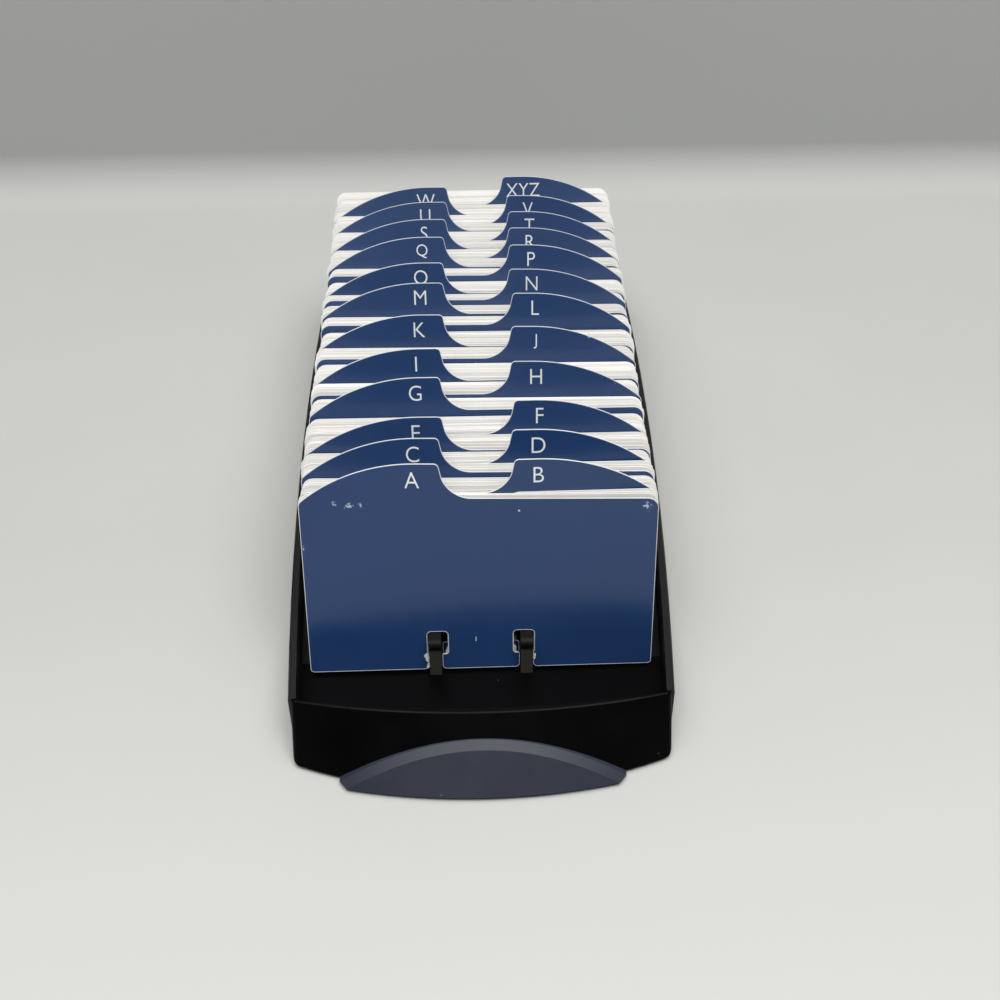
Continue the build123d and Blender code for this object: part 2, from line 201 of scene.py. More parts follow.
surroundings = bpy.data.worlds.new("even_grey")
bpy.context.scene.world = surroundings
surroundings.use_nodes = True
sky = surroundings.node_tree
dim = sky.nodes["Background"]
dim.inputs["Color"].default_value = WORLD_TINT
dim.inputs["Strength"].default_value = WORLD_STRENGTH
horizon = sky.nodes.new("ShaderNodeBackground")
horizon.inputs["Color"].default_value = HORIZON_GREY
either = sky.nodes.new("ShaderNodeMixShader")
ray = sky.nodes.new("ShaderNodeLightPath")
sky.links.new(ray.outputs["Is Camera Ray"], either.inputs["Fac"])
sky.links.new(dim.outputs["Background"], either.inputs[1])
sky.links.new(horizon.outputs["Background"], either.inputs[2])
sky.links.new(either.outputs["Shader"], sky.nodes["World Output"].inputs["Surface"])
print("world:", surroundings.name, "at strength", WORLD_STRENGTH)

# %% [markdown]
# Several finishes share the same effects: a fine mould grain, cloudy variation, and small specks of dust
# or chipped coating. Each could be wired into every material again. Built once as a shader node group
# that only puts out numbers, it can feed a material's colour, roughness or bump with its own values.

# %% Node helpers
def new_group(name, inputs, outputs):
    """A shader node group with float inputs and outputs, the inputs given as name: default."""
    group = bpy.data.node_groups.new(name, "ShaderNodeTree")
    interface = group.interface
    interface.new_socket(name="Vector", in_out="INPUT", socket_type="NodeSocketVector")
    for label, value in inputs.items():
        socket = interface.new_socket(name=label, in_out="INPUT", socket_type="NodeSocketFloat")
        socket.default_value = value
    for label in outputs:
        interface.new_socket(name=label, in_out="OUTPUT", socket_type="NodeSocketFloat")
    return group, group.nodes.new("NodeGroupInput"), group.nodes.new("NodeGroupOutput")


def add_node(tree, kind, **settings):
    """A node of this kind. A setting goes on the input of that name, or else on the node itself."""
    node = tree.nodes.new(kind)
    for label, value in settings.items():
        if label in node.inputs:
            node.inputs[label].default_value = value
        else:
            setattr(node, label, value)
    return node


def math_node(tree, operation, first, second=None, clamp=False):
    """A Math node. Each operand is a number or a socket."""
    node = tree.nodes.new("ShaderNodeMath")
    node.operation = operation
    node.use_clamp = clamp
    for place, operand in enumerate((first, second)):
        if isinstance(operand, (int, float)):
            node.inputs[place].default_value = operand
        elif operand is not None:
            tree.links.new(operand, node.inputs[place])
    return node.outputs[0]


def ramp(tree, value, low, high, to_low=0.0, to_high=1.0):
    """Spreads a value from low..high to to_low..to_high, held at the ends."""
    node = tree.nodes.new("ShaderNodeMapRange")
    tree.links.new(value, node.inputs["Value"])
    ends = {"From Min": low, "From Max": high, "To Min": to_low, "To Max": to_high}
    for label, number in ends.items():
        node.inputs[label].default_value = number
    return node.outputs["Result"]


print("node helpers: new_group, add_node, math_node, ramp")

# %% Effect: mould grain
grain_group, entry, leave = new_group(
    "mould grain", {"Scale": 2400.0, "Cloud Scale": 60.0}, ["Height", "Cloud"]
)
fine = add_node(grain_group, "ShaderNodeTexNoise", Detail=3.0, Roughness=0.6)
cloud = add_node(grain_group, "ShaderNodeTexNoise", Detail=4.0, Roughness=0.55)
for texture, scale in ((fine, "Scale"), (cloud, "Cloud Scale")):
    grain_group.links.new(entry.outputs["Vector"], texture.inputs["Vector"])
    grain_group.links.new(entry.outputs[scale], texture.inputs["Scale"])
grain_group.links.new(fine.outputs["Fac"], leave.inputs["Height"])
grain_group.links.new(ramp(grain_group, cloud.outputs["Fac"], 0.3, 0.7), leave.inputs["Cloud"])
print("group:", grain_group.name)

# %% Effect: specks
speck_group, entry, leave = new_group("specks", {"Scale": 500.0, "Share": 0.1, "Size": 0.2}, ["Mask"])
cells = add_node(speck_group, "ShaderNodeTexVoronoi", feature="F1", Randomness=1.0)
lottery = add_node(speck_group, "ShaderNodeSeparateColor")
speck_group.links.new(entry.outputs["Vector"], cells.inputs["Vector"])
speck_group.links.new(entry.outputs["Scale"], cells.inputs["Scale"])
speck_group.links.new(cells.outputs["Color"], lottery.inputs["Color"])
picked = math_node(speck_group, "LESS_THAN", lottery.outputs["Red"], entry.outputs["Share"])
reach = math_node(speck_group, "MULTIPLY", lottery.outputs["Green"], entry.outputs["Size"])
near = math_node(speck_group, "LESS_THAN", cells.outputs["Distance"], reach)
speck_group.links.new(math_node(speck_group, "MULTIPLY", picked, near), leave.inputs["Mask"])
print("group:", speck_group.name)

# %% [markdown]
# A material is always built in the same order: one Principled shader with its fixed numbers on its own
# sockets, the effects it uses, then a mix of two or three close colours, so that no surface is one flat
# tone. Cloudy variation also moves the roughness a little, and the grain becomes a faint bump.

# %% Material helpers
def new_material(name, **fixed):
    """A material with a Principled shader. The fixed values go on the shader's own sockets."""
    material = bpy.data.materials.new(name)
    material.use_nodes = True
    shader = material.node_tree.nodes["Principled BSDF"]
    for label, value in fixed.items():
        shader.inputs[label.replace("_", " ")].default_value = value
    place = material.node_tree.nodes.new("ShaderNodeTexCoord").outputs["Object"]
    return material, material.node_tree, shader, place


def use_group(tree, group, vector, **values):
    """Places a node group in a material with its own values."""
    node = tree.nodes.new("ShaderNodeGroup")
    node.node_tree = group
    tree.links.new(vector, node.inputs["Vector"])
    for label, value in values.items():
        node.inputs[label.replace("_", " ")].default_value = value
    return node


def mix_colour(tree, share, first, second):
    """Mixes two colours, each a tuple or a socket, by a socket's share."""
    node = tree.nodes.new("ShaderNodeMix")
    node.data_type = "RGBA"
    sockets = [s for s in node.inputs if s.type == "RGBA"]
    for socket, colour in zip(sockets, (first, second)):
        if isinstance(colour, tuple):
            socket.default_value = (*colour, 1)
        else:
            tree.links.new(colour, socket)
    tree.links.new(share, node.inputs["Factor"])
    return [s for s in node.outputs if s.type == "RGBA"][0]


def set_surface(tree, shader, colour, cloud, smoothest, roughest):
    """Gives the shader its colour, and a roughness that the clouds move between two values."""
    tree.links.new(colour, shader.inputs["Base Color"])
    tree.links.new(ramp(tree, cloud, 0.0, 1.0, smoothest, roughest), shader.inputs["Roughness"])


def add_bump(tree, shader, height, strength, distance):
    """A faint bump from a height socket."""
    bump = add_node(tree, "ShaderNodeBump", Strength=strength, Distance=distance)
    tree.links.new(height, bump.inputs["Height"])
    tree.links.new(bump.outputs["Normal"], shader.inputs["Normal"])


def split_axes(tree, place):
    """The X, Y and Z of a place, as three sockets."""
    axes = tree.nodes.new("ShaderNodeSeparateXYZ")
    tree.links.new(place, axes.inputs["Vector"])
    return axes.outputs


print("material helpers: new_material, use_group, mix_colour, set_surface, add_bump, split_axes")

# %% [markdown]
# The tray is satin black plastic from a grained mould. Its nose takes less gloss than the rest and looks
# nearly pure black. The badge is the same plastic in blue-grey, glossier, so that its broad bevel catches
# the light. A few grains of dust lie on all of them, and the feet are dull rubber. One function makes the
# four, because they differ only in their numbers.

# %% Finish: moulded plastics of the tray
TRAY_GRAIN = 2600.0
TRAY_CLOUD = 45.0
DUST_SCALE = 420.0
DUST_SIZE = 0.16
DUST_ROUGHER = 0.3
MOULD_DEPTH = 0.05 * MM


def moulded_plastic(name, colour, cloudy, dust_colour, dust_share, roughness, grain, **fixed):
    """Satin plastic with a fine mould grain, a cloudy tone and a little dust."""
    material, tree, shader, place = new_material(name, **fixed)
    surface = use_group(tree, grain_group, place, Scale=TRAY_GRAIN, Cloud_Scale=TRAY_CLOUD)
    dust = use_group(tree, speck_group, place, Scale=DUST_SCALE, Share=dust_share, Size=DUST_SIZE)
    tone = mix_colour(tree, surface.outputs["Cloud"], colour, cloudy)
    tone = mix_colour(tree, dust.outputs["Mask"], tone, dust_colour)
    tree.links.new(tone, shader.inputs["Base Color"])
    rough = ramp(tree, surface.outputs["Cloud"], 0.0, 1.0, roughness - 0.04, roughness + 0.06)
    dusty = math_node(tree, "MULTIPLY", dust.outputs["Mask"], DUST_ROUGHER)
    tree.links.new(math_node(tree, "ADD", rough, dusty), shader.inputs["Roughness"])
    add_bump(tree, shader, surface.outputs["Height"], grain, MOULD_DEPTH)
    return material


tray_black = moulded_plastic(
    "tray_black", colour=(0.0030, 0.0031, 0.0033), cloudy=(0.0048, 0.0050, 0.0053),
    dust_colour=(0.035, 0.031, 0.025), dust_share=0.12, roughness=0.42, grain=0.35,
    Specular_IOR_Level=0.3,
)
nose_black = moulded_plastic(
    "nose_black", colour=(0.0008, 0.0008, 0.0009), cloudy=(0.0014, 0.0014, 0.0016),
    dust_colour=(0.032, 0.028, 0.022), dust_share=0.08, roughness=0.38, grain=0.35,
    Specular_IOR_Level=0.06,
)
badge_grey = moulded_plastic(
    "badge_grey", colour=(0.0165, 0.0200, 0.0350), cloudy=(0.0200, 0.0240, 0.0410),
    dust_colour=(0.07, 0.07, 0.08), dust_share=0.05, roughness=0.48, grain=0.5,
    Specular_IOR_Level=0.42,
)
pad_rubber = moulded_plastic(
    "pad_rubber", colour=(0.012, 0.012, 0.012), cloudy=(0.020, 0.020, 0.020),
    dust_colour=(0.07, 0.07, 0.065), dust_share=0.12, roughness=0.78, grain=0.8,
)
print("plastics:", tray_black.name, nose_black.name, badge_grey.name, pad_rubber.name)

# %% [markdown]
# The rails are black too, but their front strips, below the rounded noses, are a dull grey: painted light,
# where those faces catch the light, while the noses above lie in shade and stay black. A second material on
# those faces would end in a hard line, so the grey comes from the place on the rail: only the front tenths
# of a millimetre, and only below the nose.

# %% Finish: rails with a painted lit front
FRONT_FADE = (0.9 * MM, 0.2 * MM)
NOSE_FADE = (2.8 * MM, 3.6 * MM)
RAIL_BLACK = (0.0030, 0.0031, 0.0031)
# The dull grey of the rails' fronts is painted light on their lit faces.
LIT_FRONT_GREY = (0.056, 0.057, 0.049)
rail_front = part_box("left_rail")[0][1]
rail_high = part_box("left_rail")[1][2]

rail_grey, tree, shader, place = new_material("rail_grey", Specular_IOR_Level=0.16)
surface = use_group(tree, grain_group, place, Scale=TRAY_GRAIN, Cloud_Scale=110.0)
axes = split_axes(tree, place)
at_front = ramp(tree, axes["Y"], rail_front + FRONT_FADE[0], rail_front + FRONT_FADE[1])
below_nose = ramp(tree, axes["Z"], rail_high - NOSE_FADE[0], rail_high - NOSE_FADE[1])
uneven = ramp(tree, surface.outputs["Cloud"], 0.0, 1.0, 0.75, 1.0)
# Where the grey goes: painted light on the front strip below the nose, which stays black in its shade.
wear_and_painted_light = math_node(tree, "MULTIPLY", at_front, below_nose)
wear_and_painted_light = math_node(tree, "MULTIPLY", wear_and_painted_light, uneven)
tone = mix_colour(tree, wear_and_painted_light, RAIL_BLACK, LIT_FRONT_GREY)
set_surface(tree, shader, tone, surface.outputs["Cloud"], 0.55, 0.65)
add_bump(tree, shader, surface.outputs["Height"], 0.4, MOULD_DEPTH)

TRAY_FINISHES = {
    "tray_base": tray_black,
    "front_bezel": nose_black,
    "front_badge": badge_grey,
    "left_rail": rail_grey,
    "right_rail": rail_grey,
    "back_rest": tray_black,
    "rubber_feet": pad_rubber,
}
for node, finish in TRAY_FINISHES.items():
    nodes[node].data.materials.clear()
    nodes[node].data.materials.append(finish)
print("tray finishes on", len(TRAY_FINISHES), "nodes")

# %% [markdown]
# The cards are uncoated white stock. Seen edge on, a pack is a bundle of slightly different whites, so
# each card carries its own tone as an attribute of its faces, and one material serves them all. The edges
# are a little darker and rougher. The same function makes the pale core that shows at a divider's cut.

# %% Finish: card stock
TONE_PART = 0.75
CLOUD_PART = 0.25
FIBRE_DEPTH = 0.03 * MM


def tone_of(tree):
    """The tone attribute of a sheet's faces."""
    tone = tree.nodes.new("ShaderNodeAttribute")
    tone.attribute_name = "tone"
    return tone.outputs["Fac"]


def card_stock(name, colour, shade, roughness):
    """Uncoated white card, between its colour and its shade by each card's tone."""
    material, tree, shader, place = new_material(name, Specular_IOR_Level=0.3)
    fibre = use_group(tree, grain_group, place, Scale=1500.0, Cloud_Scale=90.0)
    tone = tone_of(tree)
    share = math_node(tree, "MULTIPLY", fibre.outputs["Cloud"], CLOUD_PART)
    share = math_node(tree, "ADD", share, math_node(tree, "MULTIPLY", tone, TONE_PART), clamp=True)
    mixed = mix_colour(tree, share, colour, shade)
    set_surface(tree, shader, mixed, fibre.outputs["Cloud"], roughness - 0.05, roughness + 0.05)
    add_bump(tree, shader, fibre.outputs["Height"], 0.25, FIBRE_DEPTH)
    return material


card_white = card_stock("card_white", (0.90, 0.89, 0.87), (0.74, 0.72, 0.69), roughness=0.6)
card_edge = card_stock("card_edge", (0.88, 0.87, 0.84), (0.66, 0.63, 0.59), roughness=0.75)
cut_edge = card_stock("cut_edge", (0.80, 0.82, 0.84), (0.40, 0.43, 0.50), roughness=0.7)
print("card finishes:", card_white.name, card_edge.name, cut_edge.name)

# %% [markdown]
# The dividers are card with a glossy navy coating. The rear ones look hazier: their tone mixes in a lighter
# navy, a painted sheen that grows towards the rear, with a random share for each divider. Small chips show
# the pale core everywhere. The first divider is worn through at its corners and along its top. Each worn
# place is a point in the model with its reach: near it, a fine cloudy pattern breaks the coating up.
# Painting on a UV map would do it too, but a point needs no map.

# %% Finish: coated navy dividers
NAVY = (0.0105, 0.038, 0.128)
NAVY_CLOUDY = (0.0125, 0.043, 0.140)
# A lighter navy for the painted sheen of the rear dividers.
NAVY_SHEEN = (0.055, 0.092, 0.195)
PALE_CORE = (0.42, 0.50, 0.60)
COATING_DEPTH = 0.04 * MM


def coated_navy(name, worn=()):
    """Glossy navy coating with a few pale chips. Each worn place is a point in the model and its reach."""
    material, tree, shader, place = new_material(name, Specular_IOR_Level=0.45)
    surface = use_group(tree, grain_group, place, Scale=900.0, Cloud_Scale=38.0)
    chips = use_group(tree, speck_group, place, Scale=260.0, Share=0.05, Size=0.10)
    navy = mix_colour(tree, surface.outputs["Cloud"], NAVY, NAVY_CLOUDY)
    # Painted sheen: the tone mixes in the lighter navy, more towards the rear.
    navy = mix_colour(tree, tone_of(tree), navy, NAVY_SHEEN)
    bare = chips.outputs["Mask"]
    for centre, reach in worn:
        distance = tree.nodes.new("ShaderNodeVectorMath")
        distance.operation = "DISTANCE"
        distance.inputs[1].default_value = centre
        tree.links.new(place, distance.inputs[0])
        close = ramp(tree, distance.outputs["Value"], reach, 0.0, 0.0, 0.55)
        ragged = use_group(tree, grain_group, place, Scale=1700.0, Cloud_Scale=1500.0)
        broken = math_node(tree, "MULTIPLY", ragged.outputs["Cloud"], 0.6)
        wear_and_painted_light = math_node(tree, "ADD", close, broken)
        bare = math_node(tree, "MAXIMUM", bare, ramp(tree, wear_and_painted_light, 0.66, 0.84))
    coating = mix_colour(tree, bare, navy, PALE_CORE)
    set_surface(tree, shader, coating, surface.outputs["Cloud"], 0.20, 0.27)
    add_bump(tree, shader, surface.outputs["Height"], 0.12, COATING_DEPTH)
    return material


divider_navy = coated_navy("divider_navy")
print("finish:", divider_navy.name)

# %% [markdown]
# The letters are white ink, a little uneven. The floor is pale paper, with painted light that makes it
# slightly lighter towards the camera, and painted shade that makes it darker up the backdrop. More lamps
# could shade it so, but they would also change the light on the object, so the tones follow the place in
# the model. The paper is one-sided: seen from behind it is transparent, and the backdrop never hides the
# object.

# %% Finish: white letters
letter_ink, tree, shader, place = new_material("letter_ink", Specular_IOR_Level=0.4)
surface = use_group(tree, grain_group, place, Scale=1800.0, Cloud_Scale=120.0)
ink = mix_colour(tree, surface.outputs["Cloud"], (0.86, 0.87, 0.88), (0.74, 0.76, 0.78))
set_surface(tree, shader, ink, surface.outputs["Cloud"], 0.3, 0.42)
print("finish:", letter_ink.name)

# %% Finish: pale one-sided paper
FLOOR_TONES = (0.436, 0.439, 0.426), (0.450, 0.453, 0.440)
NEAR_PAINTED_LIGHT = (0.540, 0.540, 0.523)
WALL_PAINTED_SHADE = (0.350, 0.355, 0.353)
NEAR_FADE = (-0.02, -0.26)
WALL_FADE = (0.0, 0.017)

sheet_paper, tree, shader, place = new_material("sheet_paper", Specular_IOR_Level=0.2)
surface = use_group(tree, grain_group, place, Scale=600.0, Cloud_Scale=9.0)
axes = split_axes(tree, place)
paper = mix_colour(tree, surface.outputs["Cloud"], *FLOOR_TONES)
# Painted light: the paper is lighter towards the camera.
paper = mix_colour(tree, ramp(tree, axes["Y"], *NEAR_FADE), paper, NEAR_PAINTED_LIGHT)
# Painted shade: the paper is darker up the backdrop.
paper = mix_colour(tree, ramp(tree, axes["Z"], *WALL_FADE), paper, WALL_PAINTED_SHADE)
set_surface(tree, shader, paper, surface.outputs["Cloud"], 0.62, 0.7)
one_sided = tree.nodes.new("ShaderNodeMixShader")
side_seen = tree.nodes.new("ShaderNodeNewGeometry")
clear = tree.nodes.new("ShaderNodeBsdfTransparent")
tree.links.new(side_seen.outputs["Backfacing"], one_sided.inputs["Fac"])
tree.links.new(shader.outputs["BSDF"], one_sided.inputs[1])
tree.links.new(clear.outputs["BSDF"], one_sided.inputs[2])
tree.links.new(one_sided.outputs["Shader"], tree.nodes["Material Output"].inputs["Surface"])
floor.data.materials.append(sheet_paper)
backdrop.data.materials.append(sheet_paper)
print("finish:", sheet_paper.name)

# %% [markdown]
# Every sheet is drawn flat and face on, with its foot on the X axis, by moving a vertex like a pen from
# corner to corner. The closed outline is filled and its corners are rounded by beveling single vertices,
# which gives true radii at slanted corners too. The two notches ride on the rails: a wide part that
# clears the rail's head, and a narrow neck below it. Only the tab's long arch is spun.

# %% Sizes of the sheets, as the CAD has them
CARD_HALF = 50.8 * MM
CARD_HEIGHT = 57.15 * MM
CARD_THICK = 0.25 * MM
TOP_CORNER = 3.2 * MM
FOOT_CORNER = 1.0 * MM
DIVIDER_HEIGHT = 56.85 * MM
TAB_TOP = 67.45 * MM
TAB_SIDE_DROP = 12.4 * MM
TAB_SIDE_ROUND = 2.0 * MM
TAB_LEVEL_START = 33.3 * MM
TAB_LEVEL_WIDTH = 6.5 * MM
TAB_CORNER = 1.3 * MM
TAB_SLANT = math.radians(12)
TAB_SWEEP = 8.5 * MM
NECK_OUTER = 15.55 * MM
NECK_FLARE = 1.2 * MM
FIRM_LIP = 1.8 * MM
WORN_LIP = 0.7 * MM
WIDE_INNER = 9.65 * MM
WIDE_OUTER = 15.85 * MM
NOTCH_LIP = 5.2 * MM
NOTCH_TOP = 13.0 * MM
NOTCH_ROUND = 1.2 * MM
AXIS_ABOVE_FOOT = 12.7 * MM
CARD_COUNTS = {
    "A": 3, "B": 6, "C": 3, "D": 5, "E": 6, "F": 11, "G": 7, "H": 6, "I": 11, "J": 6, "K": 11, "L": 6,
    "M": 7, "N": 3, "O": 10, "P": 5, "Q": 4, "R": 5, "S": 4, "T": 6, "U": 3, "V": 6, "W": 6, "XYZ": 11,
}
letters = list(CARD_COUNTS)
print("sheets:", len(letters), "dividers,", sum(CARD_COUNTS.values()), "cards")

# %% The corners of an outline
def draw_corners(mesh, tip, corners):
    """Draws lines through the corners, each x, z and radius. Returns the last vertex and those to round."""
    to_round = []
    for x, z, radius in corners:
        tip = line_to(mesh, tip, x, z)
        if radius:
            to_round.append((tip, radius))
    return tip, to_round


def notch_corners(side, lip):
    """The corners of one notch, for a pen that goes from right to left. The lip is its inner one."""
    corners = [
        (NECK_OUTER, 0, NECK_FLARE),
        (NECK_OUTER, NOTCH_LIP, 0),
        (WIDE_OUTER, NOTCH_LIP + NOTCH_ROUND / 3, 0),
        (WIDE_OUTER, NOTCH_TOP, NOTCH_ROUND),
        (WIDE_INNER, NOTCH_TOP, NOTCH_ROUND),
        (WIDE_INNER, NOTCH_LIP, NOTCH_ROUND / 2),
        (WIDE_INNER + lip, NOTCH_LIP, NOTCH_ROUND / 4),
        (WIDE_INNER + lip, 0, NECK_FLARE),
    ]
    return [(side * x, z, radius) for x, z, radius in corners][::side]


def foot_corners(lip):
    """The corners along the foot, from right to left."""
    right_end = (CARD_HALF, 0, FOOT_CORNER)
    left_end = (-CARD_HALF, 0, FOOT_CORNER)
    return [right_end, *notch_corners(1, lip), *notch_corners(-1, lip), left_end]


print("foot:", len(foot_corners(FIRM_LIP)), "corners")

# %% Fill, round, cut and thicken
def fill_and_round(mesh, to_round, steps_per_mm):
    """Fills the outline and rounds its corners. A vertex bevel starts as far along as a fillet would."""
    face = bmesh.ops.contextual_create(mesh, geom=mesh.edges[:])["faces"][0]
    if face.normal.y > 0:
        face.normal_flip()
    for corner, radius in to_round:
        first, second = [edge.other_vert(corner).co - corner.co for edge in corner.link_edges]
        reach = radius / math.tan(first.angle(second) / 2)
        steps = max(1, round(radius / MM * steps_per_mm))
        bmesh.ops.bevel(
            mesh, geom=[corner], offset=reach, segments=steps, profile=0.5, affect="VERTICES", material=-1
        )


def cut_and_thicken(mesh, thickness, cuts_x, cuts_z, border=0.0):
    """Gives the sheet a narrow worn border, cuts it for bending and adds its thickness behind."""
    if border:
        ring = bmesh.ops.inset_region(
            mesh, faces=mesh.faces[:], thickness=border, use_boundary=True, use_even_offset=True
        )
        for face in ring["faces"]:
            face.material_index = 1
    for normal, places in (((1, 0, 0), cuts_x), ((0, 0, 1), cuts_z)):
        for place in places:
            everything = mesh.verts[:] + mesh.edges[:] + mesh.faces[:]
            bmesh.ops.bisect_plane(
                mesh, geom=everything, dist=1e-6, plane_co=Vector(normal) * place, plane_no=normal
            )
    bmesh.ops.solidify(mesh, geom=mesh.faces[:], thickness=thickness)
    mesh.normal_update()
    for face in mesh.faces:
        if abs(face.normal.y) < 0.5:
            face.material_index = 1
    return mesh


def keep_pattern(name, drawn):
    """Keeps a drawn sheet as a mesh that the hung sheets are copied from."""
    pattern = bpy.data.meshes.new(name)
    drawn.to_mesh(pattern)
    drawn.free()
    return pattern


print("sheet tools: fill_and_round, cut_and_thicken, keep_pattern")

# %% Draw a divider
DIVIDER_THICK = 0.32 * MM
WORN_BORDER = 0.16 * MM
ARCH_STEPS = 18
DIVIDER_CUTS_X = [place * 8.5 * MM for place in range(-5, 6)]
DIVIDER_CUTS_Z = [13.6 * MM, 24 * MM, 36 * MM, 47 * MM, 54 * MM, 60 * MM]


def divider_drawing():
    """A divider with its tab on the left: a long arch up, a short level top and a quick fall."""
    mesh = bmesh.new()
    start = -CARD_HALF + TAB_LEVEL_START
    end = start + TAB_LEVEL_WIDTH
    foot_of_tab = end + (TAB_TOP - DIVIDER_HEIGHT) * math.tan(TAB_SLANT)
    arch = (TAB_LEVEL_START**2 + TAB_SIDE_DROP**2) / (2 * TAB_SIDE_DROP)
    arch_angle = math.degrees(math.asin(TAB_LEVEL_START / arch))
    side_top = mesh.verts.new((-CARD_HALF, 0, TAB_TOP - TAB_SIDE_DROP))
    tip = arc_round(mesh, side_top, start, TAB_TOP - arch, arch_angle, ARCH_STEPS)
    corners = [
        (end, TAB_TOP, TAB_CORNER),
        (foot_of_tab, DIVIDER_HEIGHT, TAB_SWEEP),
        (CARD_HALF, DIVIDER_HEIGHT, TOP_CORNER),
        *foot_corners(FIRM_LIP),
    ]
    tip, to_round = draw_corners(mesh, tip, corners)
    mesh.edges.new((tip, side_top))
    fill_and_round(mesh, [*to_round, (side_top, TAB_SIDE_ROUND)], 2.2)
    return cut_and_thicken(mesh, DIVIDER_THICK, DIVIDER_CUTS_X, DIVIDER_CUTS_Z, WORN_BORDER)


divider_left = keep_pattern("divider_pattern", divider_drawing())
bordered = [f for f in divider_left.polygons if f.material_index == 1 and abs(f.normal.y) > 0.5]
print("divider:", len(divider_left.polygons), "faces,", len(bordered), "in the worn border")

# %% Draw a card
CARD_CUTS_X = [-28 * MM, 0, 28 * MM]
CARD_CUTS_Z = [30 * MM, 46 * MM]


def card_drawing():
    """A plain card. It is repeated many times, so its corners have few steps."""
    mesh = bmesh.new()
    first = mesh.verts.new((-CARD_HALF, 0, CARD_HEIGHT))
    corners = [(CARD_HALF, CARD_HEIGHT, TOP_CORNER), *foot_corners(WORN_LIP)]
    tip, to_round = draw_corners(mesh, first, corners)
    mesh.edges.new((tip, first))
    fill_and_round(mesh, [*to_round, (first, TOP_CORNER)], 1.2)
    return cut_and_thicken(mesh, CARD_THICK, CARD_CUTS_X, CARD_CUTS_Z)


card_plain = keep_pattern("card_pattern", card_drawing())
print("card:", len(card_plain.polygons), "faces")

# %% [markdown]
# No sheet in the stack is quite flat, square or evenly spaced. Each divider has its own lean, and its
# right edge comes forward by its own amount, more towards the top. Turned solids would stay stiff, so the
# flat mesh is bent vertex by vertex before it is leaned and moved to its axis. One table holds all that
# differs between dividers. A figure for the pack in front says how much higher its cards stand.

# %% How each divider hangs: lean in degrees, then right edge forward, left edge back, rise, drift, in mm
HANGING = {
    "A": (14.1, 2.0, 2.4, 0.0, 0.0),
    "B": (10.4, -1.4, 2.2, 0.6, -0.5),
    "C": (14.4, 1.5, 1.5, -1.6, 0.0),
    "D": (13.0, -0.6, 0.2, 0.7, -0.8),
    "E": (13.5, 1.1, 1.1, 0.0, 0.9),
    "F": (14.1, -0.2, 0.0, 0.8, 0.3),
    "G": (14.6, 0.2, 0.2, -0.9, 0.1),
    "H": (14.2, 1.3, 1.3, -0.6, 0.0),
    "I": (14.2, 0.7, 0.7, 0.1, 0.0),
    "J": (14.2, 1.7, 1.7, -0.4, 0.6),
    "K": (13.4, 1.6, 1.6, 0.4, 0.7),
    "L": (14.5, 1.6, 1.6, -1.0, 1.5),
    "M": (13.2, 1.6, 1.6, -0.4, 0.6),
    "N": (13.7, 1.6, 1.6, -1.6, 0.8),
    "O": (13.4, 1.6, 1.6, -0.1, 0.5),
    "P": (14.2, 1.6, 1.6, -1.1, 1.3),
    "Q": (12.8, 1.6, 1.6, -0.3, 0.6),
    "R": (14.1, 1.6, 1.6, 0.4, 1.4),
    "S": (14.0, 1.6, 1.6, 0.4, 1.2),
    "T": (13.7, 1.5, 1.5, 1.0, 1.6),
    "U": (13.9, 0.9, 0.9, 0.6, 1.4),
    "V": (13.9, 1.5, 1.5, 1.4, 1.4),
    "W": (13.1, 0.4, 0.4, 1.1, 1.4),
    "XYZ": (12.8, -1.1, -1.1, 1.2, 0.0),
}
print("table:", len(HANGING), "dividers")

# %% Bend and hang a sheet
LOWEST_UP, HIGHEST_UP = -0.3, 1.3
RISE_FROM = 0.35
rail_top = tilt_axis["divider_A"].z


def warp(point, right_forward, left_back, rise, drift):
    """Bends a point of the flat sheet. Its sides go forward or back, its middle rises and drifts aside."""
    across = point.x / CARD_HALF
    up = (point.z - AXIS_ABOVE_FOOT) / (CARD_HEIGHT - AXIS_ABOVE_FOOT)
    up = min(max(up, LOWEST_UP), HIGHEST_UP)
    turn = (right_forward + left_back) / 2
    curl = (left_back - right_forward) / 2
    away = curl * across**2 * max(up, 0) - across * turn * up
    above = max(0.0, (point.z - RISE_FROM * CARD_HEIGHT) / ((1 - RISE_FROM) * CARD_HEIGHT))
    aside = drift * (1 - across**2) * min(above, 1.0)
    return Vector((point.x + aside, point.y + away, point.z + rise * above))


def hang(mesh, axis_y, lean, right_forward, left_back, rise=0.0, drift=0.0, cant=0.0):
    """Warps a sheet's mesh and hangs it on the rails. Lengths are in millimetres, as in the table."""
    settle = Matrix.Rotation(cant, 4, "Y")
    for vert in mesh.verts:
        vert.co = warp(settle @ vert.co, right_forward * MM, left_back * MM, rise * MM, drift * MM)
    place = Matrix.Translation((0, axis_y, rail_top)) @ Matrix.Rotation(-lean, 4, "X")
    place = place @ Matrix.Translation((0, 0, -AXIS_ABOVE_FOOT))
    bmesh.ops.transform(mesh, matrix=place, verts=mesh.verts[:])


def hang_as_divider(mesh, label):
    """Hangs a divider, or something on it, by its row in the table."""
    lean, right_forward, left_back, _, drift = HANGING[label]
    axis_y = tilt_axis[f"divider_{label}"].y
    hang(mesh, axis_y, math.radians(lean), right_forward, left_back, 0.0, drift)


def place_on_divider(label, x, z):
    """Where a point of a divider's face, in millimetres from its foot's middle, is in the model."""
    mesh = bmesh.new()
    dot = mesh.verts.new((x * MM, 0, z * MM))
    hang_as_divider(mesh, label)
    found = dot.co.copy()
    mesh.free()
    return found


print("rails' top:", round(rail_top, 5))

